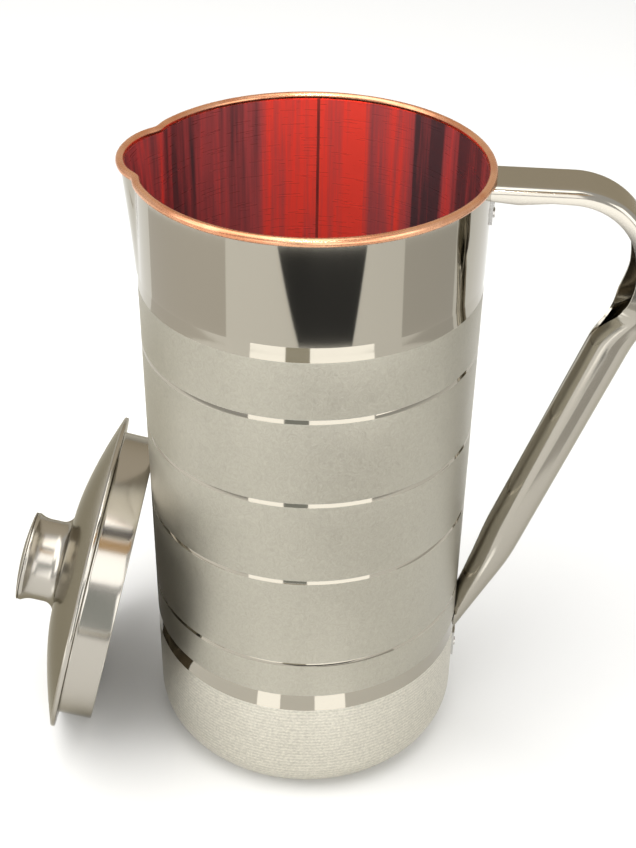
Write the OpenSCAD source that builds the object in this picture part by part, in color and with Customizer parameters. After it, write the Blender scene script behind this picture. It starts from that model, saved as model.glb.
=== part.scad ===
// Water jug of stainless steel lined with copper, with a folded-sheet handle,
// a pressed pouring lip and a loose knobbed lid that leans against its wall.
// The origin is the centre of the flat base; +Z is up, the handle is towards +X.

/* [Body] */
// Outer radius of the straight steel body
body_r = 56; // [50:1:62]
// Height of the centre of the rolled rim above the base
rim_z = 225; // [200:1:250]
// Outer radius of the rounded corner at the base
corner_r = 15; // [10:1:20]
// Thickness of the steel sheet
shell_t = 0.7; // [0.5:0.1:1.2]
// Depth of each rolled decorative line
line_depth = 0.3; // [0.1:0.1:0.4]
// Width of each rolled decorative line
line_w = 2.4; // [1:0.2:4]

/* [Copper liner] */
// Thickness of the copper sheet
liner_t = 0.7; // [0.5:0.1:1.2]
// Clearance between the liner and the steel
liner_gap = 0.1; // [0.05:0.05:0.3]
// Height at which the liner's wall is joined to its base dish
liner_joint_z = 17; // [16:1:24]
// Width of the brazed seam up the liner's wall
seam_w = 1; // [0.6:0.2:2]
// Radius of the rolled rim's section
bead_r = 1.35; // [1.2:0.05:1.6]

/* [Pouring lip] */
// How far the lip stands out beyond the body at the rim
lip_out = 4.2; // [2:0.2:6]
// Half of the angle that the lip takes up on the rim
lip_half_angle = 20; // [14:1:26]
// Height over which the lip fades into the wall
lip_h = 42; // [30:1:60]

/* [Handle] */
// Drop of the strap's top face below the centre of the rim
strap_drop = 1.6; // [1.6:0.1:6]
// Length of the strap's level stretch, from the axis
strap_reach = 81; // [76:1:90]
// Width of the strap
strap_w = 19.4; // [14:0.2:22]
// Radius of the upper bend
bend_1_r = 27; // [24:1:34]
// Radius of the lower bend
bend_2_r = 45; // [40:1:55]
// Radius of the rolled grip, at the middle of the sheet
grip_r = 6.6; // [6:0.1:8]
// Thickness of the handle's sheet
handle_t = 0.9; // [0.7:0.1:1.2]

/* [Lid] */
// Outer radius of the lid's edge
lid_r = 59; // [58.5:0.5:62]
// Height of the turned edge
lid_edge_h = 1.4; // [1:0.1:2]
// Height of the cover's flat top above the edge's underside
cover_h = 10.8; // [8:0.2:14]
// Radius of the cover's flat top
cover_flat_r = 21; // [20:1:24]
// Outer radius of the skirt that enters the mouth
skirt_r = 53.5; // [48:0.5:53.5]
// Depth of the skirt
skirt_depth = 12.2; // [8:0.2:16]
// Thickness of the lid's sheet
lid_t = 0.8; // [0.6:0.1:1]
// Lean of the lid against the jug, from upright
lid_lean = 14; // [10:1:20]
// Direction of the leaning lid round the jug
lid_azimuth = 183; // [170:1:190]
// Gap between the skirt and the jug's wall
lean_gap = 0.3; // [0.3:0.1:1]

/* [Knob] */
// Radius of the knob's foot
knob_foot_r = 19.5; // [18:0.5:20]
// Radius of the knob's neck
knob_neck_r = 15.3; // [14:0.1:16]
// Height of the knob's rolled shoulder above the lid's edge
knob_top_z = 24.6; // [23:0.2:28]

/* [Hidden] */

$fn = 128;
steel = "silver";
copper = "peru";
eps = 0.01;

// A point at an angle on a circle in the plane
function on_circle(centre, radius, angle) =
    [centre[0] + radius * cos(angle), centre[1] + radius * sin(angle)];
function arc(centre, radius, from, to, steps) =
    [for (i = [0:steps]) on_circle(centre, radius, from + (to - from) * i / steps)];

// ---- body and liner ----
edge_z = rim_z - 0.8;
liner_out_r = body_r - shell_t - liner_gap;
liner_in_r = liner_out_r - liner_t;
shell_floor_z = shell_t;
liner_floor_z = shell_floor_z + liner_gap;
corner_steps = 10;
// Rolled lines, as distances below the rim
line_drops = [60, 91.5, 123, 159.5];

// The lip is a cone, upright on a circle whose centre is off the jug's axis
lip_chord_x = body_r * cos(lip_half_angle);
lip_chord_y = body_r * sin(lip_half_angle);
lip_tip = body_r + lip_out;
lip_x = (lip_tip * lip_tip - lip_chord_x * lip_chord_x - lip_chord_y * lip_chord_y)
        / (2 * (lip_tip - lip_chord_x));
lip_r = lip_tip - lip_x;
lip_foot_r = body_r - 0.6 - lip_x;

module cup_solid(radius, floor_z, corner, top_z) {
    rotate_extrude()
        polygon(concat([[0, floor_z]],
                       arc([radius - corner, floor_z + corner], corner, -90, 0, corner_steps),
                       [[radius, top_z], [0, top_z]]));
}

// Everything inside a wall surface, set in from the outside of the body
module lip_cone(inset, top_z) {
    translate([-lip_x, 0, rim_z - lip_h])
        cylinder(h = top_z - rim_z + lip_h, r1 = lip_foot_r - inset,
                 r2 = lip_foot_r - inset + (lip_r - lip_foot_r) * (top_z - rim_z + lip_h) / lip_h);
}

module rolled_line(drop) {
    translate([0, 0, rim_z - drop])
        rotate_extrude()
            polygon([[body_r + 1, -line_w / 2 - 1], [body_r - line_depth, 0],
                     [body_r + 1, line_w / 2 + 1]]);
}

module outer_shell() {
    color(steel)
    difference() {
        union() {
            cup_solid(body_r, 0, corner_r, edge_z);
            lip_cone(0, edge_z);
        }
        cup_solid(body_r - shell_t, shell_floor_z, corner_r - shell_t, edge_z + 1);
        lip_cone(shell_t, edge_z + 1);
        for (drop = line_drops) rolled_line(drop);
    }
}

// The brazed seam faces away from the front, a quarter turn from the handle
seam_angle = 93;
module seam_slot(extra) {
    rotate([0, 0, seam_angle])
        translate([liner_in_r - 1, -seam_w / 2 - extra, liner_joint_z - 1])
            cube([liner_t + 2, seam_w + 2 * extra, rim_z]);
}

module liner_tube() {
    difference() {
        union() {
            translate([0, 0, liner_joint_z])
                cylinder(h = edge_z - liner_joint_z, r = liner_out_r);
            lip_cone(shell_t + liner_gap, edge_z);
        }
        translate([0, 0, liner_joint_z - 1])
            cylinder(h = rim_z, r = liner_in_r);
        lip_cone(shell_t + liner_gap + liner_t, edge_z + 1);
    }
}

module liner_wall() {
    color(copper)
    difference() {
        liner_tube();
        seam_slot(0);
    }
}

module liner_seam() {
    color("saddlebrown")
    intersection() {
        liner_tube();
        seam_slot(-eps);
    }
}

module liner_base() {
    color(copper)
    difference() {
        cup_solid(liner_out_r, liner_floor_z, corner_r - shell_t - liner_gap, liner_joint_z);
        cup_solid(liner_in_r, liner_floor_z + liner_t,
                  corner_r - shell_t - liner_gap - liner_t, liner_joint_z + 1);
    }
}

// ---- rolled rim ----
bead_ring_r = liner_in_r + bead_r;
lip_bead_r = lip_r - body_r + bead_ring_r;
rim_meet = acos((bead_ring_r * bead_ring_r + lip_x * lip_x - lip_bead_r * lip_bead_r)
                / (2 * bead_ring_r * lip_x));
lip_meet = acos((bead_ring_r * cos(rim_meet) - lip_x) / lip_bead_r);
bead_lap = 0.6;
// The section is a circle with a flat underside, which sits on the edges of the two sheets
bead_flat_angle = asin((edge_z - rim_z) / bead_r);

module bead_arc(ring_r, half_angle) {
    rotate([0, 0, -half_angle])
        rotate_extrude(angle = 2 * half_angle)
            polygon(arc([ring_r, 0], bead_r, bead_flat_angle, 180 - bead_flat_angle, 14));
}

module rim_bead() {
    color("chocolate")
    translate([0, 0, rim_z]) {
        bead_arc(bead_ring_r, 180 - rim_meet + bead_lap);
        translate([-lip_x, 0, 0]) rotate([0, 0, 180]) bead_arc(lip_bead_r, lip_meet + bead_lap);
    }
}

// ---- handle ----
// The top face's line runs level, turns down through two bends, leans back along the grip,
// and turns in once more to meet the wall. Turns are angles below the level.
strap_z = rim_z - strap_drop;
start_x = body_r - 4;
turn_1 = 60;
turn_2 = 109;
turn_3 = 117;
bend_3_r = 100;
grip_len = 97;
tail_len = 36.5;
len_1 = strap_reach - start_x;
len_2 = bend_1_r * turn_1 * PI / 180;
len_3 = bend_2_r * (turn_2 - turn_1) * PI / 180;
len_5 = bend_3_r * (turn_3 - turn_2) * PI / 180;
mark_1 = len_1;
mark_2 = mark_1 + len_2;
mark_3 = mark_2 + len_3;
mark_4 = mark_3 + grip_len;
mark_5 = mark_4 + len_5;
mark_6 = mark_5 + tail_len;

function turn_at(s) =
    s < mark_1 ? 0 :
    s < mark_2 ? (s - mark_1) / bend_1_r * 180 / PI :
    s < mark_3 ? turn_1 + (s - mark_2) / bend_2_r * 180 / PI :
    s < mark_4 ? turn_2 :
    s < mark_5 ? turn_2 + (s - mark_4) / bend_3_r * 180 / PI : turn_3;
function along(point, turn, dist) = [point[0] + dist * cos(turn), point[1] - dist * sin(turn)];
function round_bend(point, radius, from, to) =
    [point[0] + radius * (sin(to) - sin(from)), point[1] - radius * (cos(from) - cos(to))];
end_1 = [strap_reach, strap_z];
end_2 = round_bend(end_1, bend_1_r, 0, turn_1);
end_3 = round_bend(end_2, bend_2_r, turn_1, turn_2);
end_4 = along(end_3, turn_2, grip_len);
end_5 = round_bend(end_4, bend_3_r, turn_2, turn_3);
function path_at(s) =
    s < mark_1 ? [start_x + s, strap_z] :
    s < mark_2 ? round_bend(end_1, bend_1_r, 0, turn_at(s)) :
    s < mark_3 ? round_bend(end_2, bend_2_r, turn_1, turn_at(s)) :
    s < mark_4 ? along(end_3, turn_2, s - mark_3) :
    s < mark_5 ? round_bend(end_4, bend_3_r, turn_2, turn_at(s)) : along(end_5, turn_3, s - mark_5);

// The section is a strap with turned-down sides that roll round and close into a tube.
// closing goes from 0, an open channel, to 1, a closed tube.
close_from = mark_3 - 14;
close_to = mark_3 + 10;
function closing(s) = min(1, max(0, (s - close_from) / (close_to - close_from)));
function mix(a, b, k) = a + (b - a) * k;
channel_corner_r = 2.5;
function side_depth(s) =
    lookup(s, [[0, 4.2], [12, 5.2], [22, 4.2], [mark_1, 4.4], [mark_2, 5.6],
               [mark_3 - 20, 7.5], [mark_3 - 8, 10]]);
function flat_half(s) = mix(strap_w / 2 - handle_t / 2 - channel_corner_r, 0, closing(s));
function corner_at(s) = mix(channel_corner_r, grip_r, closing(s));
function roll_at(s) = mix(90, 178, closing(s));
function side_straight(s) =
    mix(max(0.1, side_depth(s) - channel_corner_r - handle_t / 2), 0.1, closing(s));
// The grip grows shallower towards its lower end, and half as much narrower
function squeeze(s) =
    lookup(s, [[mark_4 - 6, 1], [mark_4 + 8, 0.93], [mark_5 + 9, 0.74],
               [mark_5 + 25, 0.53], [mark_6, 0.42]]);
function narrowing(s) = (1 + squeeze(s)) / 2;

corner_parts = 6;
// Half of the section, from the top's middle to the side's free edge, offset from the
// middle of the sheet by off; [across, depth below the top face]
function half_section(s, off) =
    let (a = flat_half(s), c = corner_at(s), roll = roll_at(s), run = side_straight(s))
    concat([[0, handle_t / 2 - off]],
           [for (i = [0:corner_parts])
               let (f = roll * i / corner_parts)
               [a + (c + off) * sin(f), handle_t / 2 + c - (c + off) * cos(f)]],
           [[a + (c + off) * sin(roll) + run * cos(roll),
             handle_t / 2 + c - (c + off) * cos(roll) + run * sin(roll)]]);
function mirrored(points) = [for (i = [len(points) - 1:-1:1]) [-points[i][0], points[i][1]]];
function full_section(s) =
    let (outer = half_section(s, handle_t / 2), inner = half_section(s, -handle_t / 2))
    concat(mirrored(outer), outer, [for (i = [len(inner) - 1:-1:0]) inner[i]],
           [for (i = [1:len(inner) - 1]) [-inner[i][0], inner[i][1]]]);
function placed(s) =
    let (p = path_at(s), turn = turn_at(s), q = squeeze(s), w = narrowing(s))
    [for (v = full_section(s))
        [p[0] - v[1] * q * sin(turn), v[0] * w, p[1] - v[1] * q * cos(turn)]];

stations = concat([for (s = [0:7:mark_1]) s],
                  [for (i = [0:18]) mark_1 + (close_to + 4 - mark_1) * (i + 0.5) / 18.5],
                  [for (i = [0:4]) close_to + 12 + (mark_4 - 6 - close_to - 12) * i / 4],
                  [mark_4, mark_4 + 8, mark_5, mark_5 + 9, mark_5 + 17, mark_5 + 25, mark_6]);

module handle_sheet() {
    rings = [for (s = stations) placed(s)];
    ring_n = len(rings[0]);
    last = len(rings) - 1;
    polyhedron(
        points = [for (ring = rings) each ring],
        faces = concat(
            [[for (i = [ring_n - 1:-1:0]) i]],
            [for (k = [0:last - 1]) for (i = [0:ring_n - 1])
                let (a = k * ring_n + i, b = k * ring_n + (i + 1) % ring_n)
                each [[a, b, b + ring_n], [a, b + ring_n, a + ring_n]]],
            [[for (i = [0:ring_n - 1]) last * ring_n + i]]),
        convexity = 8);
}

module handle() {
    color(steel)
    difference() {
        handle_sheet();
        cylinder(h = rim_z + 10, r = body_r);
    }
}

// Curved plates against the wall carry the spot welds at the handle's two ends
plate_t = 0.8;
module wall_plate(half_w, z_low, z_high) {
    intersection() {
        difference() {
            translate([0, 0, z_low]) cylinder(h = z_high - z_low, r = body_r + plate_t);
            cylinder(h = rim_z + 10, r = body_r);
        }
        translate([0, -half_w, 0]) cube([body_r + 10, 2 * half_w, rim_z + 10]);
    }
}

foot_top_z = strap_z - handle_t - 0.1;
foot_low_z = foot_top_z - 13;
foot_half_w = 6.2;
module handle_top_foot() {
    color(steel) wall_plate(foot_half_w, foot_low_z, foot_top_z);
}

// The tab reaches down from just under the place where the handle meets the wall
tail_meet_z = end_5[1] + (end_5[0] - body_r) * tan(turn_3);
tab_half_w = 4.5;
tab_top_z = tail_meet_z - 0.15;
tab_low_z = tab_top_z - 11;
module handle_bottom_tab() {
    color(steel) wall_plate(tab_half_w, tab_low_z, tab_top_z);
}

weld_r = 1.6;
weld_h = 0.4;
fine_fn = 720;
module spot_weld(y, z) {
    translate([0, y, z])
        rotate([0, 90, 0])
            cylinder(h = body_r + plate_t + weld_h, r = weld_r);
}
module handle_spot_welds() {
    color("gainsboro")
    difference() {
        union() {
            for (y = [-3.2, 3.2]) spot_weld(y, foot_low_z + 3);
            spot_weld(0, tab_low_z + 3);
        }
        cylinder(h = rim_z + 10, r = body_r + plate_t, $fn = fine_fn);
    }
}

// ---- lid, in its own frame: edge's underside at z = 0, knob towards +z ----
lid_centre_r = body_r + lean_gap + sin(lid_lean) * skirt_r + cos(lid_lean) * skirt_depth;
lid_centre_z = lid_r * cos(lid_lean);
module leaning() {
    rotate([0, 0, lid_azimuth])
        translate([lid_centre_r, 0, lid_centre_z])
            rotate([0, 90 - lid_lean, 0])
                children();
}

crown_power = 1.5;
function cover_z(r) =
    r <= cover_flat_r ? cover_h :
    lid_edge_h + (cover_h - lid_edge_h)
        * (1 - pow((r - cover_flat_r) / (lid_r - cover_flat_r), crown_power));
cover_parts = 8;
function cover_r(i) = cover_flat_r + (lid_r - cover_flat_r) * i / cover_parts;
screw_hole_r = 2.7;
hem_r = lid_r - lid_t;

module lid_cover() {
    color(steel)
    leaning()
    rotate_extrude()
        polygon(concat(
            [[screw_hole_r, cover_h]],
            [for (i = [0:cover_parts]) [cover_r(i), cover_z(cover_r(i))]],
            [[lid_r, 0], [hem_r, 0], [hem_r, cover_z(lid_r) - lid_t]],
            [for (i = [cover_parts - 1:-1:0]) [cover_r(i), cover_z(cover_r(i)) - lid_t]],
            [[screw_hole_r, cover_h - lid_t]]));
}

// An angle ring: the band enters the mouth and its flange lies under the cover's edge
flange_t = 0.6;
module lid_skirt() {
    color(steel)
    leaning()
    rotate_extrude()
        polygon([[skirt_r - lid_t, -skirt_depth], [skirt_r, -skirt_depth], [skirt_r, 0],
                 [hem_r, 0], [hem_r, flange_t], [skirt_r - lid_t, flange_t]]);
}

// ---- knob: a hollow spun spool with a pressed cap, held by a screw from inside the lid ----
knob_t = 0.7;
knob_fillet_r = knob_foot_r - knob_neck_r;
knob_fillet_z = cover_h + knob_fillet_r;
knob_flare_r = 8;
knob_flare_angle = 32;
knob_flare_z = knob_top_z - 1.2 - knob_flare_r * sin(knob_flare_angle);
function knob_side(inset) = concat(
    arc([knob_foot_r, knob_fillet_z], knob_fillet_r + inset, 270, 180, 8),
    arc([knob_neck_r + knob_flare_r, knob_flare_z], knob_flare_r + inset,
        180, 180 - knob_flare_angle, 6));
knob_shoulder_r = knob_neck_r + knob_flare_r * (1 - cos(knob_flare_angle));

module lid_knob() {
    color(steel)
    leaning()
    rotate_extrude()
        polygon(concat(
            [[knob_foot_r, cover_h]],
            [for (p = knob_side(0)) [p[0], max(p[1], cover_h + eps)]],
            [[knob_shoulder_r, knob_top_z], [knob_shoulder_r - knob_t, knob_top_z]],
            [for (i = [15:-1:1]) let (p = knob_side(knob_t)[i]) [p[0], max(p[1], cover_h + eps)]],
            [[knob_neck_r + 1.2, cover_h]]));
}

cap_edge_h = 0.6;
cap_crown = 1.6;
cap_parts = 6;
module knob_cap() {
    color("gainsboro")
    leaning()
    rotate_extrude()
        polygon(concat(
            [[0, knob_top_z], [knob_shoulder_r, knob_top_z]],
            [for (i = [cap_parts:-1:0])
                let (f = i / cap_parts)
                [knob_shoulder_r * f, knob_top_z + cap_edge_h + cap_crown * (1 - f * f)]]));
}

boss_r = 6;
boss_h = 6;
boss_disc_t = 0.8;
screw_r = 2.1;
thread_gap = 0.05;
module knob_boss() {
    color("gray")
    leaning()
    difference() {
        union() {
            translate([0, 0, cover_h]) cylinder(h = boss_h, r = boss_r);
            translate([0, 0, cover_h + boss_h - boss_disc_t])
                cylinder(h = boss_disc_t, r = knob_neck_r - knob_t - thread_gap);
        }
        translate([0, 0, cover_h - 1]) cylinder(h = boss_h + 2, r = screw_r + thread_gap);
    }
}

washer_r = 6;
washer_t = 0.8;
washer_low_z = cover_h - lid_t - washer_t;
module knob_washer() {
    color("silver")
    leaning()
    difference() {
        translate([0, 0, washer_low_z]) cylinder(h = washer_t, r = washer_r);
        translate([0, 0, washer_low_z - 1]) cylinder(h = washer_t + 2, r = screw_hole_r);
    }
}

screw_head_r = 4.4;
screw_head_h = 2.4;
slot_w = 1;
slot_depth = 1.2;
module knob_screw() {
    color("silver")
    leaning()
    difference() {
        union() {
            translate([0, 0, washer_low_z - screw_head_h])
                cylinder(h = screw_head_h, r1 = screw_head_r - 1, r2 = screw_head_r);
            translate([0, 0, washer_low_z - eps])
                cylinder(h = cover_h + boss_h - washer_low_z, r = screw_r);
        }
        translate([-screw_head_r, -slot_w / 2, washer_low_z - screw_head_h - 1])
            cube([2 * screw_head_r, slot_w, slot_depth + 1]);
    }
}

outer_shell();
liner_wall();
liner_base();
liner_seam();
rim_bead();
handle();
handle_top_foot();
handle_bottom_tab();
handle_spot_welds();
lid_cover();
lid_skirt();
lid_knob();
knob_cap();
knob_boss();
knob_washer();
knob_screw();
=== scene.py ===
# %% [markdown]
# # A copper-lined water jug and its loose lid
# The jug is a straight steel cup with a second cup of copper inside it. A copper wire is rolled
# over the edge where the two meet, and the edge is pressed out into a small pouring lip.
# The CAD model already holds every size, so this lesson keeps its places and gives it the
# smooth skins, the turned lines and the metals of the real thing.

# %% Load the frame
import math

import bmesh
import bpy
from mathutils import Matrix, Vector


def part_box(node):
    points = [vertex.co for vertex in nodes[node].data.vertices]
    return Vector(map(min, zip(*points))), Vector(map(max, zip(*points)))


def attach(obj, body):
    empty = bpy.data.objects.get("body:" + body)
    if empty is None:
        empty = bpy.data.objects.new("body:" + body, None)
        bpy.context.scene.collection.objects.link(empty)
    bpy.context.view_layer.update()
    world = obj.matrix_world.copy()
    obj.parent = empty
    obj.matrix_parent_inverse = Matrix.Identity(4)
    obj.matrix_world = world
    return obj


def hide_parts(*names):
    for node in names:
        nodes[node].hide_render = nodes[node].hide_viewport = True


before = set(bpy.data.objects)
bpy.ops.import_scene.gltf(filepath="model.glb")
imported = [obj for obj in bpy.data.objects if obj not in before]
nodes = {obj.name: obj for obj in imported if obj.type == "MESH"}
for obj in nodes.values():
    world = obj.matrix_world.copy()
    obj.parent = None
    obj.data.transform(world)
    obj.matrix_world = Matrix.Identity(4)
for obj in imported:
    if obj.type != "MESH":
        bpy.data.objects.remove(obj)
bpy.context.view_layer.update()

scene = bpy.context.scene

# %% [markdown]
# ## Driving sizes
# Everything below is worked out from these few sizes, in metres. Where the frame can say a
# size, it is asked: the shell's box gives the radius of the body and the reach of the lip.

# %% Sizes of the jug and the lid
MM = 0.001
shell_low, shell_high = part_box("outer_shell")
body_r = shell_high.x
lip_out = -shell_low.x - body_r
wall_top = shell_high.z
rim_z = wall_top + 0.8 * MM
shell_t = 0.7 * MM
liner_gap = 0.1 * MM
liner_t = 0.7 * MM
liner_r = body_r - shell_t - liner_gap - liner_t
corner_r = 15 * MM
joint_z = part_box("liner_wall")[0].z
bead_r = 1.35 * MM


def in_mm(size):
    return round(size / MM, 1)


print("body radius", in_mm(body_r), "rim height", in_mm(rim_z), "lip", in_mm(lip_out))

# %% [markdown]
# ## Camera
# The camera stands half a metre away and looks down at the mouth, so that the copper shows.
# A long lens keeps the straight wall almost parallel.

# %% Camera
eye = Vector((34.9, -403.0, 399.8)) * MM
look_down = math.radians(34.0)
turn_left = math.radians(4.51)
roll = math.radians(-1.0)
level = Vector((math.cos(turn_left), math.sin(turn_left), 0))
ahead = Vector((-math.sin(turn_left) * math.cos(look_down),
                math.cos(turn_left) * math.cos(look_down), -math.sin(look_down)))
above = level.cross(ahead)
camera_x = math.cos(roll) * level - math.sin(roll) * above
camera_y = math.sin(roll) * level + math.cos(roll) * above
camera_data = bpy.data.cameras.new("camera")
camera_data.lens = 59.4
camera_data.clip_start = 0.01
camera = bpy.data.objects.new("camera", camera_data)
camera_turn = Matrix((camera_x, camera_y, -ahead)).transposed().to_4x4()
camera.matrix_world = Matrix.Translation(eye) @ camera_turn
scene.collection.objects.link(camera)
scene.camera = camera
print("camera looks along", [round(v, 3) for v in ahead])

# %% [markdown]
# ## Helpers for skins
# Most pieces here are sheets that follow a rule, so one helper joins rows of points into a
# skin. It writes its own UV map in metres, so that a finish can follow the sheet: U runs
# along the rows and V across them. Poles are merged, and a skin that came out inside out is
# turned, so that every face points outwards.

# %% A skin through rows of points
SHARP = math.radians(38)
WELD_DISTANCE = 1e-7


def running_length(points):
    total = [0.0]
    for a, b in zip(points, points[1:]):
        total.append(total[-1] + (b - a).length)
    return total


def skin(name, rows, ring=False, section_closed=True, caps=False):
    count, width = len(rows), len(rows[0])
    bm = bmesh.new()
    grid = [[bm.verts.new(p) for p in row] for row in rows]
    uv = bm.loops.layers.uv.new("sheet")
    along = running_length([row[0] for row in rows] + [rows[0][0]])
    across = running_length(list(rows[0]) + [rows[0][0]])
    for i in range(count if ring else count - 1):
        for j in range(width if section_closed else width - 1):
            k, m = (i + 1) % count, (j + 1) % width
            face = bm.faces.new((grid[i][j], grid[i][m], grid[k][m], grid[k][j]))
            corners = ((i, j), (i, j + 1), (i + 1, j + 1), (i + 1, j))
            for loop, (u, v) in zip(face.loops, corners):
                loop[uv].uv = (along[u], across[v])
    if caps:
        bm.faces.new(list(reversed(grid[0])))
        bm.faces.new(grid[-1])
    bmesh.ops.remove_doubles(bm, verts=bm.verts, dist=WELD_DISTANCE)
    bmesh.ops.dissolve_degenerate(bm, dist=WELD_DISTANCE, edges=bm.edges)
    if bm.calc_volume(signed=True) < 0:
        bmesh.ops.reverse_faces(bm, faces=bm.faces)
    mesh = bpy.data.meshes.new(name)
    bm.to_mesh(mesh)
    bm.free()
    return mesh


# %% A finished piece: smooth, with crisp folds, riding on its body
def piece(name, mesh, body, material, stands_for=()):
    mesh.shade_smooth()
    mesh.set_sharp_from_angle(angle=SHARP)
    obj = bpy.data.objects.new(name, mesh)
    scene.collection.objects.link(obj)
    mesh.materials.clear()
    mesh.materials.append(material)
    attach(obj, body)
    if stands_for:
        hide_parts(*stands_for)
    spans = [[v.co[i] for v in mesh.vertices] for i in range(3)]
    size = [in_mm(max(span) - min(span)) for span in spans]
    print(f"{name}: {len(mesh.polygons)} faces, {size} mm")


# %% Arcs and turned shapes
def arc(centre, radius, start, end, steps):
    """Points on a circle, angles in degrees, as (r, z)."""
    angles = [math.radians(start + (end - start) * i / steps) for i in range(steps + 1)]
    return [(centre[0] + radius * math.cos(a), centre[1] + radius * math.sin(a)) for a in angles]


def no_swell(angle, z):
    return 0.0


def turned(profile, angles, swell=no_swell, place=Matrix()):
    """Rows of points: the profile at each angle round the axis, pushed out by swell."""
    rows = []
    for a in angles:
        c, s = math.cos(a), math.sin(a)
        radii = [r + (swell(a, z) if r > corner_r else 0.0) for r, z in profile]
        rows.append([place @ Vector((r * c, r * s, z)) for r, (_, z) in zip(radii, profile)])
    return rows


TURN_STEPS = 360
full_turn = [2 * math.pi * i / TURN_STEPS for i in range(TURN_STEPS)]

# %% [markdown]
# ## Node helpers for the metals
# A clean metal is a Principled shader with metallic at 1. What makes it look real is how its
# roughness changes: polished lines, satin zones and fine scratches. Each helper below adds
# one node and returns its output, so that a recipe reads from top to bottom.

# %% Node helpers
def new_metal(name, colour, roughness):
    material = bpy.data.materials.new(name)
    material.use_nodes = True
    shader = material.node_tree.nodes["Principled BSDF"]
    shader.inputs["Base Color"].default_value = (*colour, 1)
    shader.inputs["Metallic"].default_value = 1.0
    shader.inputs["Roughness"].default_value = roughness
    return material, material.node_tree, shader


def feed(tree, socket, value):
    """Links an output to a socket, or sets the socket to a number or a vector."""
    if isinstance(value, bpy.types.NodeSocket):
        tree.links.new(value, socket)
    else:
        socket.default_value = value


def math_node(tree, operation, a, b=0.0):
    node = tree.nodes.new("ShaderNodeMath")
    node.operation = operation
    feed(tree, node.inputs[0], a)
    feed(tree, node.inputs[1], b)
    return node.outputs[0]


def plus(tree, a, b):
    return math_node(tree, "ADD", a, b)


def minus(tree, a, b):
    return math_node(tree, "SUBTRACT", a, b)


def times(tree, a, b):
    return math_node(tree, "MULTIPLY", a, b)


def place_on(tree, source="Object"):
    return tree.nodes.new("ShaderNodeTexCoord").outputs[source]


def stretched(tree, vector, scale):
    node = tree.nodes.new("ShaderNodeMapping")
    feed(tree, node.inputs["Vector"], vector)
    node.inputs["Scale"].default_value = scale
    return node.outputs["Vector"]


def noise(tree, vector, scale, detail=4.0, roughness=0.55, distortion=0.0):
    node = tree.nodes.new("ShaderNodeTexNoise")
    feed(tree, node.inputs["Vector"], vector)
    node.inputs["Scale"].default_value = scale
    node.inputs["Detail"].default_value = detail
    node.inputs["Roughness"].default_value = roughness
    node.inputs["Distortion"].default_value = distortion
    return node.outputs["Fac"]


def split(tree, vector):
    node = tree.nodes.new("ShaderNodeSeparateXYZ")
    feed(tree, node.inputs[0], vector)
    return node.outputs


def ramp(tree, value, stops):
    """A colour ramp; a stop is a position and a grey or a colour."""
    node = tree.nodes.new("ShaderNodeValToRGB")
    elements = node.color_ramp.elements
    while len(elements) < len(stops):
        elements.new(0.5)
    for element, (position, tone) in zip(elements, stops):
        element.position = position
        element.color = (*(tone if isinstance(tone, tuple) else (tone,) * 3), 1)
    feed(tree, node.inputs["Fac"], value)
    return node.outputs["Color"]


def remap(tree, value, low, high, to_low, to_high):
    node = tree.nodes.new("ShaderNodeMapRange")
    feed(tree, node.inputs["Value"], value)
    ends = {"From Min": low, "From Max": high, "To Min": to_low, "To Max": to_high}
    for key, end in ends.items():
        feed(tree, node.inputs[key], end)
    return node.outputs["Result"]


def blended(tree, factor, a, b):
    node = tree.nodes.new("ShaderNodeMix")
    node.data_type = "RGBA"
    feed(tree, node.inputs["Factor"], factor)
    for key, value in (("A", a), ("B", b)):
        socket = next(s for s in node.inputs if s.name == key and s.type == "RGBA")
        feed(tree, socket, (*value, 1) if isinstance(value, tuple) else value)
    return next(s for s in node.outputs if s.type == "RGBA")


def dimmed(tree, colour, factor):
    """A colour times a number."""
    node = tree.nodes.new("ShaderNodeVectorMath")
    node.operation = "SCALE"
    feed(tree, node.inputs[0], colour)
    feed(tree, node.inputs["Scale"], factor)
    return node.outputs[0]


def bumped(tree, shader, height, strength, distance):
    node = tree.nodes.new("ShaderNodeBump")
    node.inputs["Strength"].default_value = strength
    node.inputs["Distance"].default_value = distance
    feed(tree, node.inputs["Height"], height)
    tree.links.new(node.outputs["Normal"], shader.inputs["Normal"])


# %% [markdown]
# ## Turned lines on the steel wall
# On a lathe the wall was first made satin and then burnished: two wide polished bands and
# four narrow lines between them. A band is a very shallow step that leans back, so it faces
# slightly upwards and catches the lamps while the wall beside it mirrors the table. A line is
# the same step made narrower and steeper. Both are real geometry in the outline, and the
# finish reads the same heights.

# %% Heights of the bands and lines, measured down from the rim
band_drops = ((34 * MM, 39.5 * MM), (174 * MM, 181 * MM))
line_drops = [60 * MM, 91.5 * MM, 123 * MM, 159.5 * MM]
line_half = 0.75 * MM
bands = [(rim_z - low, rim_z - high) for high, low in band_drops]
lines = [rim_z - drop for drop in line_drops]
print("bands at", [[in_mm(z) for z in band] for band in bands])
print("lines at", [in_mm(z) for z in lines])

# %% The outline of the steel wall, from the base's centre up the outside
step_depth = 0.5 * MM
line_ease, band_ease, band_return = 0.08 * MM, 0.12 * MM, 0.1 * MM
lip_height = 42 * MM
lip_foot = rim_z - lip_height


def stepped_in(points):
    """Points given as (share of the step's depth, height), as (r, z)."""
    return [(body_r - share * step_depth, z) for share, z in points]


def line_outline(z):
    """A narrow step that leans back towards its upper edge, from below."""
    low, high, ease = z - line_half, z + line_half, line_ease
    return stepped_in([(0, low - ease), (0.06, low + ease), (0.94, high - 2 * ease),
                       (1, high - ease), (0.4, high), (0, high + ease)])


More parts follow.
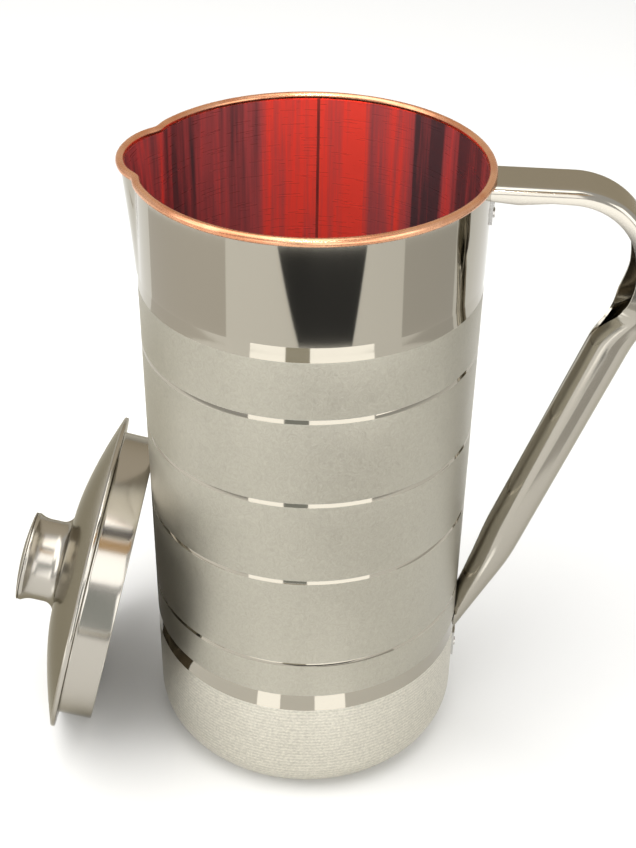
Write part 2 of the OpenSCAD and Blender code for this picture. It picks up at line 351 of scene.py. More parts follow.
def band_outline(low, high):
    """A wide step that leans back towards its upper edge, from below."""
    return stepped_in([(0, low - band_ease), (0.06, low + band_ease), (0.5, (low + high) / 2),
                       (0.94, high - band_ease), (1, high - band_return),
                       (0.5, high + band_return), (0, high + band_ease)])


def steps_between(low, high, step):
    count = max(1, round((high - low) / step))
    return [low + (high - low) * i / count for i in range(count + 1)]


# Rows stand close together where the lip bends the wall, and further apart below it
plain_step, lip_step = 12 * MM, 2 * MM


def wall_outline():
    features = sorted([line_outline(z) for z in lines] + [band_outline(*b) for b in bands],
                      key=lambda points: points[0][1])
    points = [(0.0, 0.0)] + arc((body_r - corner_r, corner_r), corner_r, -90, 0, 16)
    for feature in features:
        gap = steps_between(points[-1][1], feature[0][1], plain_step)[1:-1]
        points += [(body_r, z) for z in gap] + feature
    return points + [(body_r, z) for z in steps_between(points[-1][1], wall_top, lip_step)[1:]]


outside = wall_outline()
print("outline points on the outside:", len(outside))

# %% [markdown]
# ## The pouring lip
# The lip is pressed out of the round wall: it stands furthest out at its tip, fades away
# down the wall, and pulls the wall in a little at its two sides. One rule gives how far the
# sheet moves at an angle and a height, and the steel, the copper and the rolled rim all use
# it, so they stay together.

# %% How far the lip pushes the wall out
LIP_HALF = math.radians(20)
LIP_SOFT = 0.1
LIP_FADE = 1.15
side_pull = 0.7 * MM
side_width = math.radians(4)


def lip_swell(angle, z):
    turn = angle % (2 * math.pi) - math.pi
    hump = 1 - (turn / LIP_HALF) ** 2
    soft = math.sqrt(1 + LIP_SOFT ** 2)
    hump = 0.5 * (hump + math.sqrt(hump * hump + LIP_SOFT ** 2)) / (0.5 * (1 + soft))
    if abs(turn) > 2 * LIP_HALF:
        hump = 0.0
    edge = abs(turn) - LIP_HALF
    pull = math.exp(-(edge / side_width) ** 2)
    rise = min(1.0, max(0.0, (z - lip_foot) / lip_height)) ** LIP_FADE
    return rise * (lip_out * hump - side_pull * pull)


tip = max(lip_swell(math.radians(180 + d / 4), rim_z) for d in range(-80, 81))
print("lip stands out", in_mm(tip), "mm")

# %% [markdown]
# ## Steel finishes
# The same steel carries three finishes: polished, satin and turned. They differ in tone, in
# roughness and in fine relief. The height on the wall says which finish a ring of it has, and
# noise then breaks up the satin zones into the faint swirls that a hand pad leaves.

# %% The body's steel: finish by height
POLISHED_STEEL = (0.355, 0.33, 0.275)
SATIN_STEEL = (0.40, 0.38, 0.318)
TURNED_STEEL = (0.58, 0.555, 0.48)
POLISHED, SATIN, TURNED = 0.055, 0.4, 0.46
SWIRL_SHARE, CLOUD_SHARE, MIDDLE_SHARE = 0.25, 0.12, 0.18
polish_start = bands[0][0] + 0.45 * MM
ring_pitch = 1.5 * MM


def in_zone(tree, z, low, high):
    """1 between two heights, 0 elsewhere."""
    off = math_node(tree, "ABSOLUTE", minus(tree, z, (low + high) / 2))
    return math_node(tree, "LESS_THAN", off, (high - low) / 2)


def polished_zones(tree, z):
    """1 on the bands, on the lines and from the upper band up to the rim."""
    total = math_node(tree, "GREATER_THAN", z, polish_start)
    for low, high in [bands[1]] + [(line - line_half, line + line_half) for line in lines]:
        total = plus(tree, total, in_zone(tree, z, low, high))
    return total


def body_steel():
    material, tree, shader = new_metal("body steel", SATIN_STEEL, SATIN)
    where = place_on(tree)
    z = split(tree, where)["Z"]
    polish = polished_zones(tree, z)
    satin = minus(tree, 1.0, polish)
    below = in_zone(tree, z, -1 * MM, bands[1][0])
    pad = stretched(tree, where, (1, 1, 0.8))
    swirls = noise(tree, pad, 420, detail=5, roughness=0.75, distortion=3)
    clouds = noise(tree, where, 28, detail=2)
    uneven = plus(tree, times(tree, swirls, SWIRL_SHARE), times(tree, clouds, CLOUD_SHARE))
    even = remap(tree, below, 0.0, 1.0, SATIN, TURNED)
    dull = plus(tree, even, minus(tree, uneven, MIDDLE_SHARE))
    feed(tree, shader.inputs["Roughness"], remap(tree, satin, 0.0, 1.0, POLISHED, dull))
    dots = noise(tree, stretched(tree, where, (1, 1, 1.4)), 1100, detail=1)
    turned_rings = math_node(tree, "SINE", times(tree, z, 2 * math.pi / ring_pitch))
    ringed_dots = plus(tree, times(tree, turned_rings, 0.12), dots)
    shade = remap(tree, swirls, 0.3, 0.7, 0.86, 1.1)
    dotted_shade = remap(tree, ringed_dots, 0.3, 0.7, 0.84, 1.1)
    shade = times(tree, shade, remap(tree, below, 0.0, 1.0, 1.0, dotted_shade))
    shade = remap(tree, satin, 0.0, 1.0, 1.0, shade)
    dull_colour = blended(tree, below, SATIN_STEEL, TURNED_STEEL)
    colour = blended(tree, polish, dull_colour, POLISHED_STEEL)
    tree.links.new(dimmed(tree, colour, shade), shader.inputs["Base Color"])
    relief = plus(tree, swirls, times(tree, ringed_dots, below))
    bumped(tree, shader, times(tree, relief, satin), 0.5, 0.25 * MM)
    return material


# %% Plain polished and machined steels
def polished_steel(name, colour, roughness, edge_tint):
    """Sheet with hair-fine marks along U of its UV map; edge_tint dulls what grazes it."""
    material, tree, shader = new_metal(name, colour, roughness)
    sheet = place_on(tree, "UV")
    hairs = noise(tree, stretched(tree, sheet, (0.02, 1, 1)), 6000, detail=2)
    stains = noise(tree, place_on(tree), 45, detail=3)
    marks = plus(tree, times(tree, hairs, 0.06), times(tree, stains, 0.08))
    feed(tree, shader.inputs["Roughness"], plus(tree, marks, roughness - 0.05))
    bumped(tree, shader, hairs, 0.12, 0.02 * MM)
    shader.inputs["Specular Tint"].default_value = (*edge_tint, 1)
    return material


def machined_steel(name, colour, roughness):
    """Small parts from the CAD model, which have no UV map: the marks are plain noise."""
    material, tree, shader = new_metal(name, colour, roughness)
    grain = noise(tree, place_on(tree), 2500, detail=3)
    uneven = plus(tree, times(tree, grain, 0.2), roughness - 0.1)
    feed(tree, shader.inputs["Roughness"], uneven)
    bumped(tree, shader, grain, 0.15, 0.03 * MM)
    return material


# %% [markdown]
# ## Copper finishes
# Inside a copper cup light bounces from wall to wall and loses its green and blue each
# time, so the wall glows a deep red; here that glow is painted into the base colour as painted
# light. The tarnish hangs in upright streaks. The streaks are noise that is stretched along the
# jug's axis: seen from inside, x and y change fast round the wall while z barely matters. A few
# broad tones paint, by angle, where the wall is lit and where it is shaded: painted light and shade.
# Tarnish is not a clean metal, so it is half metallic and keeps its red from every side.

# %% The liner: tarnish streaks with painted light and painted shade
# The brightest colour is a painted glow of light bounced round the cup; the darkest is painted shade
# together with dark tarnish.
COPPER_PAINTED_GLOW = (1.0, 0.075, 0.05)
COPPER_MID = (0.46, 0.085, 0.085)
COPPER_SHADE_AND_TARNISH = (0.09, 0.05, 0.055)
TARNISHED = 0.5
# Degrees round the jug (0 at the handle, 90 at the back), and how bright the wall is painted there:
# painted light and painted shade
PAINTED_LIGHT_TONES = [(-180, 0.3), (0, 0.25), (17, 0.15), (33, 0.12), (36, 0.55), (41, 0.55),
                (43.5, 0.03), (55, 0.05), (57.5, 0.55), (67, 0.6), (69, 0.42), (73.5, 0.42),
                (76, 0.85), (112, 0.8), (115, 0.42), (140, 0.36), (143, 0.12), (157, 0.14),
                (160, 0.45), (170, 0.3), (180, 0.3)]


def tarnished_copper_with_painted_light():
    material, tree, shader = new_metal("copper with tarnish and painted light", COPPER_MID, 0.24)
    shader.inputs["Metallic"].default_value = TARNISHED
    where = place_on(tree)
    axes = split(tree, where)
    around = math_node(tree, "ARCTAN2", axes["Y"], axes["X"])
    turn = remap(tree, around, -math.pi, math.pi, 0.0, 1.0)
    # Painted light and painted shade: one tone for each angle round the jug.
    painted_light_tone = ramp(tree, turn, [((degrees + 180) / 360, tone) for degrees, tone in PAINTED_LIGHT_TONES])
    wide = noise(tree, stretched(tree, where, (1, 1, 0.06)), 130, detail=3, distortion=0.3)
    narrow = noise(tree, stretched(tree, where, (1, 1, 0.03)), 520, detail=4)
    # The tone adds the tarnish streaks of the noise to the painted light and shade.
    tone = plus(tree, painted_light_tone, minus(tree, wide, 0.5))
    tone = plus(tree, tone, times(tree, minus(tree, narrow, 0.5), 0.9))
    colour = ramp(tree, tone, [(0.08, COPPER_SHADE_AND_TARNISH), (0.45, COPPER_MID), (0.85, COPPER_PAINTED_GLOW)])
    tree.links.new(colour, shader.inputs["Base Color"])
    rings = noise(tree, stretched(tree, where, (0.05, 0.05, 1)), 1800, detail=2)
    feed(tree, shader.inputs["Roughness"], remap(tree, rings, 0.3, 0.7, 0.26, 0.36))
    bumped(tree, shader, rings, 0.1, 0.03 * MM)
    return material


# %% The rolled rim's copper and the dark brazed seam
def rim_copper_finish():
    material, tree, shader = new_metal("rim copper", (0.7, 0.35, 0.2), 0.2)
    where = place_on(tree)
    tarnish = noise(tree, where, 60, detail=4)
    colour = ramp(tree, tarnish, [(0.3, (0.56, 0.21, 0.1)), (0.6, (0.72, 0.38, 0.22))])
    tree.links.new(colour, shader.inputs["Base Color"])
    grain = noise(tree, where, 1400, detail=2)
    feed(tree, shader.inputs["Roughness"], remap(tree, grain, 0.2, 0.8, 0.2, 0.34))
    bumped(tree, shader, grain, 0.1, 0.02 * MM)
    return material


def seam_braze():
    material, tree, shader = new_metal("seam braze", (0.3, 0.03, 0.03), 0.4)
    shader.inputs["Metallic"].default_value = TARNISHED
    where = place_on(tree)
    patches = noise(tree, stretched(tree, where, (1, 1, 0.15)), 160, detail=3)
    colour = ramp(tree, patches, [(0.35, (0.16, 0.03, 0.03)), (0.7, (0.5, 0.06, 0.04))])
    tree.links.new(colour, shader.inputs["Base Color"])
    bumped(tree, shader, noise(tree, where, 900), 0.3, 0.05 * MM)
    return material


body_finish = body_steel()
LID_STEEL, LID_EDGE = (0.42, 0.395, 0.35), (0.5, 0.48, 0.43)
handle_finish = polished_steel("handle steel", (0.39, 0.365, 0.315), 0.13, (0.7, 0.68, 0.62))
lid_finish = polished_steel("lid steel", LID_STEEL, 0.12, LID_EDGE)
knob_finish = polished_steel("knob steel", LID_STEEL, 0.21, LID_EDGE)
fastener_finish = machined_steel("fastener steel", (0.5, 0.49, 0.47), 0.3)
weld_finish = machined_steel("weld steel", (0.5, 0.48, 0.45), 0.25)
# The liner's copper carries painted light and painted shade besides its tarnish streaks.
liner_tarnish_and_painted_light = tarnished_copper_with_painted_light()
rim_finish = rim_copper_finish()
seam_finish = seam_braze()
print("finishes:", len(bpy.data.materials))

# %% [markdown]
# ## The steel wall
# The outline is turned round the axis once, outside and inside together, so the wall is one
# closed skin with a real thickness of 0.7 mm.

# %% Steel wall
inner_r = body_r - shell_t
inner_corner = corner_r - shell_t
inside = [(inner_r, z) for z in reversed(steps_between(lip_foot, wall_top, 3 * MM))]
inside += arc((inner_r - inner_corner, shell_t + inner_corner), inner_corner, 0, -90, 10)
inside += [(0.0, shell_t)]
wall_rows = turned(outside + inside, full_turn, lip_swell)
wall_mesh = skin("steel_wall", wall_rows, ring=True, section_closed=False)
piece("steel_wall", wall_mesh, "jug", body_finish, ("outer_shell",))

# %% [markdown]
# ## The copper liner
# The liner is two parts: a pressed dish and a wall that was bent round and brazed. The wall
# therefore starts and ends at the seam, and the seam's own strip from the CAD model fills the
# slot between its two edges.

# %% Liner wall
seam_low, seam_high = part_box("liner_seam")
seam_middle = (seam_low + seam_high) / 2
seam_angle = math.atan2(seam_middle.y, seam_middle.x)
seam_half = 0.5 * MM / liner_r
sheet_angle = 2 * math.pi - 2 * seam_half
wall_angles = [seam_angle + seam_half + sheet_angle * i / TURN_STEPS for i in range(TURN_STEPS + 1)]
heights = steps_between(joint_z, lip_foot, 20 * MM)[:-1] + steps_between(lip_foot, wall_top, lip_step)
liner_outline = [(liner_r + liner_t, z) for z in heights]
liner_outline += [(liner_r, z) for z in reversed(heights)]
liner_mesh = skin("copper_wall", turned(liner_outline, wall_angles, lip_swell), caps=True)
piece("copper_wall", liner_mesh, "jug", liner_tarnish_and_painted_light, ("liner_wall",))
print("seam at", round(math.degrees(seam_angle), 1), "degrees")

# %% Liner dish
dish_r = liner_r + liner_t
dish_z = shell_t + liner_gap
dish_corner = corner_r - shell_t - liner_gap
dish_centre = (dish_r - dish_corner, dish_z + dish_corner)
dish_outline = [(0.0, dish_z)] + arc(dish_centre, dish_corner, -90, 0, 12)
dish_outline += [(dish_r, joint_z), (liner_r, joint_z)]
dish_outline += arc(dish_centre, dish_corner - liner_t, 0, -90, 12) + [(0.0, dish_z + liner_t)]
dish_rows = turned(dish_outline, full_turn)
dish_mesh = skin("copper_dish", dish_rows, ring=True, section_closed=False)
piece("copper_dish", dish_mesh, "jug", liner_tarnish_and_painted_light, ("liner_base",))

# %% [markdown]
# ## The rolled rim
# The rim is one round wire of copper that follows a path, so Geometry Nodes makes it: the
# path goes in as a closed line, Mesh to Curve turns it into a curve, and Curve to Mesh sweeps
# a circle along it. The inputs have names, so the wire's size can be changed on the modifier.

# %% A tree that sweeps a wire along a closed line
def wire_tree():
    tree = bpy.data.node_groups.new("rolled wire", "GeometryNodeTree")
    face = tree.interface
    face.new_socket("Path", in_out="INPUT", socket_type="NodeSocketGeometry")
    face.new_socket("Wire radius", in_out="INPUT", socket_type="NodeSocketFloat")
    face.new_socket("Sides", in_out="INPUT", socket_type="NodeSocketInt")
    face.new_socket("Metal", in_out="INPUT", socket_type="NodeSocketMaterial")
    face.new_socket("Wire", in_out="OUTPUT", socket_type="NodeSocketGeometry")
    add = tree.nodes.new
    given, made = add("NodeGroupInput"), add("NodeGroupOutput")
    to_curve, circle = add("GeometryNodeMeshToCurve"), add("GeometryNodeCurvePrimitiveCircle")
    sweep, realize = add("GeometryNodeCurveToMesh"), add("GeometryNodeRealizeInstances")
    metal = add("GeometryNodeSetMaterial")
    link = tree.links.new
    link(given.outputs["Path"], to_curve.inputs["Mesh"])
    link(given.outputs["Wire radius"], circle.inputs["Radius"])
    link(given.outputs["Sides"], circle.inputs["Resolution"])
    link(to_curve.outputs["Curve"], sweep.inputs["Curve"])
    link(circle.outputs["Curve"], sweep.inputs["Profile Curve"])
    link(sweep.outputs["Mesh"], realize.inputs["Geometry"])
    link(realize.outputs["Geometry"], metal.inputs["Geometry"])
    link(given.outputs["Metal"], metal.inputs["Material"])
    link(metal.outputs["Geometry"], made.inputs["Wire"])
    return tree


rolled_wire = wire_tree()


def with_nodes(name, mesh, tree, inputs):
    """Runs a node tree on a mesh and gives back the plain mesh that it makes."""
    helper = bpy.data.objects.new(name + " path", mesh)
    scene.collection.objects.link(helper)
    modifier = helper.modifiers.new("nodes", "NODES")
    modifier.node_group = tree
    given = [item for item in tree.interface.items_tree if item.in_out == "INPUT"]
    sockets = {item.name: item.identifier for item in given}
    for label, value in inputs.items():
        modifier[sockets[label]] = value
    graph = bpy.context.evaluated_depsgraph_get()
    made = bpy.data.meshes.new_from_object(helper.evaluated_get(graph))
    bpy.data.objects.remove(helper)
    made.name = name
    return made


def closed_line(name, points):
    mesh = bpy.data.meshes.new(name)
    count = len(points)
    mesh.from_pydata([tuple(p) for p in points], [(i, (i + 1) % count) for i in range(count)], [])
    return mesh


# %% Rim wire
RIM_STEPS, RIM_SIDES = 540, 20
ring_r = liner_r + bead_r
rim_points = []
for i in range(RIM_STEPS):
    a = 2 * math.pi * i / RIM_STEPS
    r = ring_r + lip_swell(a, rim_z)
    rim_points.append((r * math.cos(a), r * math.sin(a), rim_z))
rim_line = closed_line("rim line", rim_points)
wire = {"Wire radius": bead_r, "Sides": RIM_SIDES, "Metal": rim_finish}
rim_mesh = with_nodes("rolled_rim", rim_line, rolled_wire, wire)
piece("rolled_rim", rim_mesh, "jug", rim_finish, ("rim_bead",))

# %% [markdown]
# ## The handle
# One strip of steel makes the whole handle. At the top it is a strap with its sides turned
# down; past the bend the sides roll right round until they meet, so the grip is a tube with a
# seam on its inner side; at its foot it is squeezed flat against the wall. The path is made
# of straight runs and bends, and a section is placed square to it every few millimetres.

# %% The path of the handle's outer face
handle_low, handle_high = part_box("handle")
strap_z = rim_z - 1.6 * MM
strap_half = handle_high.y
sheet_t = 0.9 * MM
grip_r = 6.6 * MM
wall_gap = 0.03 * MM
level_run, grip_run, foot_run = 29 * MM, 97 * MM, 36.5 * MM
handle_start = Vector((body_r - 4 * MM, 0, strap_z))


def bend(radius, degrees):
    return radius * math.radians(degrees), degrees


# Each run is a length in metres and a turn in degrees that is made over that length
runs = [(level_run, 0), bend(27 * MM, 60), bend(45 * MM, 49), (grip_run, 0),
        bend(100 * MM, 8), (foot_run, 0)]


def handle_path(step):
    """(distance, point, heading below level) along the handle, in steps no longer than step."""
    point, heading, distance = handle_start.copy(), 0.0, 0.0
    path = [(distance, point.copy(), heading)]
    for length, degrees in runs:
        count = math.ceil(length / step)
        turn = math.radians(degrees) / count
        for _ in range(count):
            chord_heading = heading + turn / 2
            chord = length / count
            if turn:
                chord *= math.sin(turn / 2) / (turn / 2)
            point += chord * Vector((math.cos(chord_heading), 0, -math.sin(chord_heading)))
            heading += turn
            distance += length / count
            path.append((distance, point.copy(), heading))
    return path


marks = [0.0]
for length, _ in runs:
    marks.append(marks[-1] + length)
print("handle length", round(marks[-1] / MM), "mm")

# %% The section of the handle
fold_r = 2.5 * MM
close_from, close_to = marks[3] - 14 * MM, marks[3] + 10 * MM
OPEN_ROLL, CLOSED_ROLL = 90, 177
# How deep the strap's sides are turned down, by the distance from its start
SIDE_DEPTHS = [(0, 4.2), (12, 5.2), (22, 4.2), (marks[1] / MM, 4.4), (marks[2] / MM, 5.6),
               (marks[3] / MM - 20, 7.5), (marks[3] / MM - 8, 10)]


def read_table(table, x):
    """A straight-line look-up."""
    if x <= table[0][0]:
        return table[0][1]
    for (x0, y0), (x1, y1) in zip(table, table[1:]):
        if x <= x1:
            return y0 + (y1 - y0) * (x - x0) / (x1 - x0)
    return table[-1][1]


def eased(k):
    k = min(1.0, max(0.0, k))
    return k * k * (3 - 2 * k)


def mixed(a, b, k):
    return a + (b - a) * k


def half_section(s, off, parts=9):
    """From the middle of the outer face to the free edge, off from the middle of the sheet."""
    k = eased((s - close_from) / (close_to - close_from))
    flat = mixed(strap_half - sheet_t / 2 - fold_r, 0.0, k)
    fold = mixed(fold_r, grip_r, k)
    roll_angle = math.radians(mixed(OPEN_ROLL, CLOSED_ROLL, k))
    depth = read_table(SIDE_DEPTHS, s / MM) * MM
    straight = mixed(max(0.1 * MM, depth - fold_r - sheet_t / 2), 0.1 * MM, k)
    top = sheet_t / 2
    points = [(flat * i / 4, top - off) for i in range(4)]
    for i in range(parts + 1):
        f = roll_angle * i / parts
        points.append((flat + (fold + off) * math.sin(f), top + fold - (fold + off) * math.cos(f)))
    across, down = points[-1]
    points.append((across + straight * math.cos(roll_angle), down + straight * math.sin(roll_angle)))
    return points


def handle_section(s):
    outer, inner = half_section(s, sheet_t / 2), half_section(s, -sheet_t / 2)
    other_side = [(-y, d) for y, d in reversed(outer[1:])]
    return other_side + outer + list(reversed(inner)) + [(-y, d) for y, d in inner[1:]]


# How much of the tube's depth is left, by the distance past the start of the last straight
# run. Its width shrinks half as much.
SQUEEZES = [(-20, 1.0), (-13, 0.98), (-6, 0.93), (1, 0.85), (9, 0.74), (17, 0.64), (25, 0.53),
            (36.5, 0.42)]


def handle_rows(step):
    rows = []
    for s, point, heading in handle_path(step):
        squeeze = read_table(SQUEEZES, (s - marks[5]) / MM)
        down = Vector((-math.sin(heading), 0, -math.cos(heading)))
        row = []
        for y, d in handle_section(s):
            p = point + squeeze * d * down + Vector((0, y * (1 + squeeze) / 2, 0))
            wall_x = math.sqrt(max(0.0, (body_r + wall_gap) ** 2 - p.y ** 2))
            p.x = max(p.x, wall_x)
            row.append(p)
        rows.append(row)
    return rows


handle_mesh = skin("handle_sheet", handle_rows(1.5 * MM), caps=True)
piece("handle_sheet", handle_mesh, "jug", handle_finish, ("handle",))
print("CAD handle box, mm:", [in_mm(b - a) for a, b in zip(handle_low, handle_high)])

# %% [markdown]
# ## The lid
# The lid is a stack of turned shells on one axis: a domed cover with a folded edge, an
# angle ring whose band enters the mouth, and a hollow spool of a knob with a pressed cap. It
# leans on the jug, so its shapes are drawn upright and one matrix puts them all in place.

# %% Where the lid stands
lid_r = 59 * MM
skirt_r = 53.5 * MM
skirt_depth = 12.2 * MM
lid_t = 0.8 * MM
cover_h = 10.8 * MM
edge_h = 1.4 * MM
flat_r = 21 * MM
lean = math.radians(14)
lid_turn = math.radians(183)
reach = body_r + 0.3 * MM + math.sin(lean) * skirt_r + math.cos(lean) * skirt_depth
lid_place = (Matrix.Rotation(lid_turn, 4, "Z") @ Matrix.Translation((reach, 0, lid_r * math.cos(lean)))
             @ Matrix.Rotation(math.pi / 2 - lean, 4, "Y"))


def lid_piece(name, outline, material, stands_for, closed=True):
    rows = turned(outline, full_turn, place=lid_place)
    mesh = skin(name, rows, ring=True, section_closed=closed)
    piece(name, mesh, "lid", material, stands_for)
    low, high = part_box(stands_for[0])
    print("  CAD box, mm:", [in_mm(b - a) for a, b in zip(low, high)])


# %% Cover
CROWN_POWER = 1.5
hole_r = 2.7 * MM
fold = 0.4 * MM


def cover_z(r):
    out = max(0.0, (r - flat_r) / (lid_r - flat_r))
    return edge_h + (cover_h - edge_h) * (1 - out ** CROWN_POWER)


crown = steps_between(flat_r, lid_r - fold, 1.6 * MM)
cover_top = [(hole_r, cover_h)] + [(r, cover_z(r)) for r in crown]
cover_edge = arc((lid_r - fold, edge_h - fold), fold, 60, 0, 4)
cover_edge += arc((lid_r - fold, fold), fold, 0, -90, 4)
cover_under = [(lid_r - lid_t, 0.15 * MM)]
cover_under += [(r, cover_z(r) - lid_t) for r in reversed(crown)] + [(hole_r, cover_h - lid_t)]
cover_outline = cover_top + cover_edge + cover_under
lid_piece("lid_dome", cover_outline, lid_finish, ("lid_cover",))

# %% Angle ring that enters the mouth
round_edge = 0.35 * MM
band_in = skirt_r - lid_t
flange_top = 0.6 * MM
root_r = 0.8 * MM
ring_outline = arc((skirt_r - round_edge, round_edge - skirt_depth), round_edge, -90, 0, 4)
ring_outline += [(skirt_r, z) for z in steps_between(1.5 * MM - skirt_depth, -1.2 * MM, 2 * MM)]
ring_outline += arc((skirt_r + root_r, -root_r), root_r, 180, 90, 4)
ring_outline += [(lid_r - lid_t, 0.0), (lid_r - lid_t, flange_top)]
ring_outline += [(band_in, flange_top), (band_in, -skirt_depth)]
lid_piece("lid_ring", ring_outline, lid_finish, ("lid_skirt",))

# %% Knob spool
foot_r, neck_r = 19.5 * MM, 15.3 * MM
knob_top = 24.6 * MM
knob_t = 0.7 * MM
fillet_r = foot_r - neck_r
flare_r = 8 * MM
FLARE = 32
flare_z = knob_top - 1.2 * MM - flare_r * math.sin(math.radians(FLARE))
shoulder_r = neck_r + flare_r * (1 - math.cos(math.radians(FLARE)))


def knob_side(inset):
    side = arc((foot_r, cover_h + fillet_r), fillet_r + inset, 270, 180, 14)
    side += arc((neck_r + flare_r, flare_z), flare_r + inset, 180, 180 - FLARE, 10)
    return [(r, max(z, cover_h + 0.02 * MM)) for r, z in side]


top_edge = 0.5 * MM
spool_outline = knob_side(0)
spool_outline += arc((shoulder_r - top_edge, knob_top - top_edge), top_edge, 0, 90, 4)
spool_outline += [(shoulder_r - knob_t, knob_top)] + list(reversed(knob_side(knob_t)))[1:]
lid_piece("knob_spool", spool_outline, knob_finish, ("lid_knob",))

# %% Knob cap
cap_edge, cap_crown = 0.6 * MM, 1.6 * MM
cap_round = 0.3 * MM
CAP_STEPS = 14
cap_outline = [(0.0, knob_top), (shoulder_r - top_edge, knob_top)]
cap_outline += arc((shoulder_r - cap_round, knob_top + cap_round), cap_round, -90, 60, 5)
cap_outline += [(shoulder_r * f, knob_top + cap_edge + cap_crown * (1 - f * f))
                for f in [1 - i / CAP_STEPS for i in range(1, CAP_STEPS + 1)]]
lid_piece("knob_disc", cap_outline, knob_finish, ("knob_cap",), closed=False)

# %% [markdown]
# ## Parts kept from the CAD model
# The welds, the foot plate, the tab, the seam and the knob's fixings already have their true
# shapes, so they only take a finish.

# %% Finishes on CAD parts
kept = {"handle_top_foot": fastener_finish, "handle_bottom_tab": fastener_finish,
        "handle_spot_welds": weld_finish, "liner_seam": seam_finish, "knob_boss": fastener_finish,
        "knob_washer": fastener_finish, "knob_screw": fastener_finish}
for name, finish in kept.items():
    nodes[name].data.materials.clear()
    nodes[name].data.materials.append(finish)
    print(name, "->", finish.name)

# %% [markdown]
# ## Studio
# Polished metal has no colour of its own to speak of: it shows what stands round it. The
# floor and the sky are plain and pale. Two tall panels give the white flashes on the turned
# bands, and a dark board on the table gives the mirror-bright wall its dark reflection.
# Panels and boards are seen in reflections only.

# %% Floor and sky
def matte(name, colour, roughness=0.9):
    material = bpy.data.materials.new(name)
    material.use_nodes = True
    shader = material.node_tree.nodes["Principled BSDF"]
    shader.inputs["Base Color"].default_value = (*colour, 1)
    shader.inputs["Roughness"].default_value = roughness
    shader.inputs["Specular IOR Level"].default_value = 0.1
    return material


def stage_mesh(name, points, material):
    mesh = bpy.data.meshes.new(name)
    mesh.from_pydata([tuple(p) for p in points], [], [tuple(range(len(points)))])
    mesh.materials.append(material)
    obj = bpy.data.objects.new(name, mesh)
    scene.collection.objects.link(obj)
    return obj


floor_r = 8.0
floor_points = [(floor_r * math.cos(a), floor_r * math.sin(a), 0) for a in full_turn[::10]]
stage_mesh("floor", floor_points, matte("pale floor", (0.86, 0.86, 0.85)))
world = bpy.data.worlds.new("sky")
scene.world = world
world.use_nodes = True
sky = world.node_tree.nodes["Background"]
sky.inputs["Color"].default_value = (1.0, 1.0, 1.0, 1)
sky.inputs["Strength"].default_value = 0.75
scene.view_settings.view_transform = "Standard"
print("floor radius", floor_r, "m")


# %% Panels and boards that only show in reflections
def glow(name, colour, strength):
    material = bpy.data.materials.new(name)
    material.use_nodes = True
    tree = material.node_tree
    tree.nodes.clear()
    light = tree.nodes.new("ShaderNodeEmission")
    out = tree.nodes.new("ShaderNodeOutputMaterial")
    light.inputs["Color"].default_value = (*colour, 1)
    light.inputs["Strength"].default_value = strength
    tree.links.new(light.outputs["Emission"], out.inputs["Surface"])
    return material


def mirror_card(name, points, material):
    """A sheet in the studio that only reflections can see."""
    card = stage_mesh(name, points, material)
    card.visible_camera = False
    card.visible_diffuse = False
    card.visible_transmission = False
    card.visible_volume_scatter = False
    card.visible_shadow = False


# Angles are in degrees round the jug: 0 is straight in front and + is to the right
CARD_STEPS = 8
card_shares = [i / CARD_STEPS for i in range(CARD_STEPS + 1)]


def round_the_jug(distance, degrees, height):
    a = math.radians(degrees)
    return distance * math.sin(a), -distance * math.cos(a), height


def standing_panel(name, span, distance, low, high, material):
    """A curved upright panel that spans two angles."""
    foot = [round_the_jug(distance, mixed(*span, k), low) for k in card_shares]
    head = [(x, y, high) for x, y, _ in reversed(foot)]
    mirror_card(name, foot + head, material)


def lying_board(name, near, far, near_span, far_span, material, height=0.4 * MM):
    """A level board between two distances; its near and its far end each span two angles."""
    points = [round_the_jug(near, mixed(*near_span, k), height) for k in card_shares]
    points += [round_the_jug(far, mixed(*far_span, 1 - k), height) for k in card_shares]
    mirror_card(name, points, material)


white_glow = glow("white panel", (1.0, 1.0, 1.0), 2.6)
dark_board = matte("dark board", (0.03, 0.031, 0.033))
panel_distance = 0.515
standing_panel("left panel", (-31, -9.5), panel_distance, 0.0, 0.22, white_glow)
standing_panel("right panel", (5, 43.5), panel_distance, 0.0, 0.3, white_glow)
lying_board("front board", 0.375, 0.5, (-1.6, 30), (-15, 38), dark_board)
lying_board("left near strip", 0.1, 0.122, (-22, -9), (-22, -9), white_glow)
lying_board("right near strip", 0.1, 0.122, (10, 27), (10, 27), white_glow)

# %% [markdown]
# ### Cards for the lid and the handle
# The lid stands on its edge, so its dome mirrors the table behind it and its band mirrors the
# whole arc from the table in front, over the top, to the back. Each card is placed where one
# part of the lid or the handle looks.

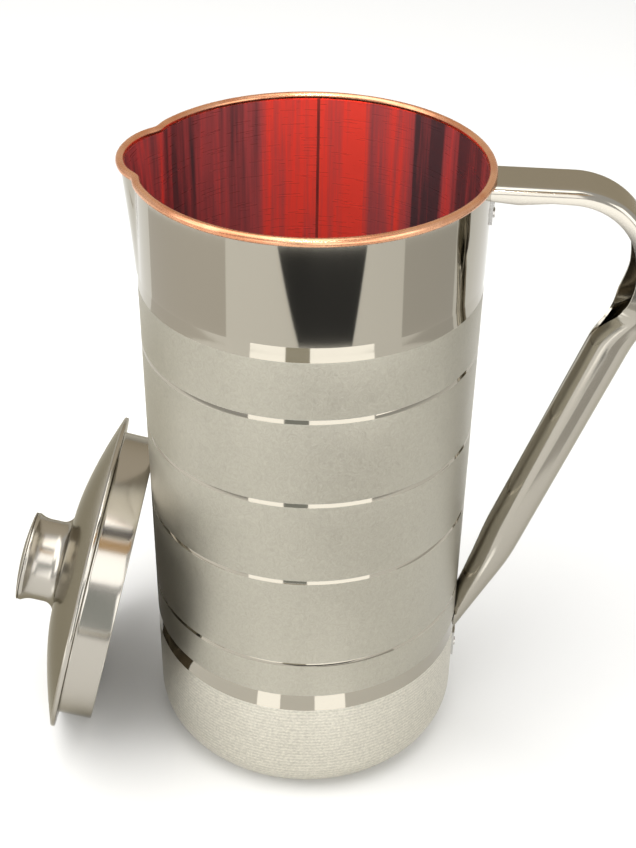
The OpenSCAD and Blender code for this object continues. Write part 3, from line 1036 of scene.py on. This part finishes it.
# %% Cards for the lid and the handle
taupe_glow = glow("taupe card", (1.0, 0.9, 0.74), 0.7)
sand_glow = glow("sand card", (1.0, 0.95, 0.8), 0.75)
gold_glow = glow("gold card", (1.0, 0.6, 0.22), 0.8)
slate_glow = glow("slate card", (0.95, 1.0, 0.97), 0.52)
grey_board = matte("grey board", (0.45, 0.44, 0.42))
mid_board = matte("mid board", (0.56, 0.55, 0.53))
pale_board = matte("pale board", (0.6, 0.58, 0.55))
front_gap = (-9.4, 4.9)
lying_board("card behind the lid", 0.1, 0.355, (-165, -70), (-165, -95), sand_glow)
lying_board("soft light on the left", 0.2, 0.26, (-88, -74), (-88, -74), white_glow)
standing_panel("card at the foot in front", front_gap, panel_distance, 0.0, 0.03, sand_glow)
standing_panel("card low in front", front_gap, panel_distance, 0.04, 0.32, slate_glow)
standing_panel("card high in front", (-12, 20), panel_distance, 0.38, 0.8, white_glow)
lying_board("gold card overhead", 0.45, 0.64, (0, 40), (0, 40), gold_glow, height=1.0)
lying_board("dark card overhead", 0.27, 0.43, (0, 60), (0, 60), dark_board, height=1.0)
standing_panel("card at the back", (120, 235), 0.8, 0.1, 1.6, taupe_glow)
lying_board("grey board on the right", 0.2, 0.34, (8, 60), (12, 60), grey_board)
lying_board("far right board", 0.37, 0.5, (62, 104), (62, 104), mid_board)
lying_board("far left board", 0.37, 0.5, (-115, -47), (-115, -47), pale_board)

# %% [markdown]
# ### Lamps
# Three soft lamps light the steel from above and from both sides. A narrow beam reaches into
# the mouth, because the wall would otherwise keep the copper dark.

# %% Lamps
middle = (0, 0, 0.1)


def hang(name, data, watts, place, aim):
    data.energy = watts
    obj = bpy.data.objects.new(name, data)
    obj.location = place
    obj.rotation_euler = (Vector(aim) - Vector(place)).to_track_quat("-Z", "Y").to_euler()
    scene.collection.objects.link(obj)


def softbox(name, size, watts, place, colour=(1, 1, 1)):
    data = bpy.data.lights.new(name, "AREA")
    data.shape = "RECTANGLE"
    data.size, data.size_y = size
    data.color = colour
    hang(name, data, watts, place, middle)


def beam(name, spread, softness, watts, place, aim):
    data = bpy.data.lights.new(name, "SPOT")
    data.spot_size = math.radians(spread)
    data.spot_blend = 0.4
    data.shadow_soft_size = softness
    hang(name, data, watts, place, aim)


softbox("overhead softbox", (1.4, 1.4), 16, (-0.3, -0.2, 1.4), (1.0, 0.985, 0.96))
softbox("left softbox", (0.7, 0.9), 5, (-1.1, -0.5, 0.7))
softbox("right softbox", (0.6, 0.9), 4, (1.1, -0.7, 0.6))
beam("mouth lamp", 10, 0.03, 17, (0.03, -0.4, 0.75), (0, 0.05, 0.19))
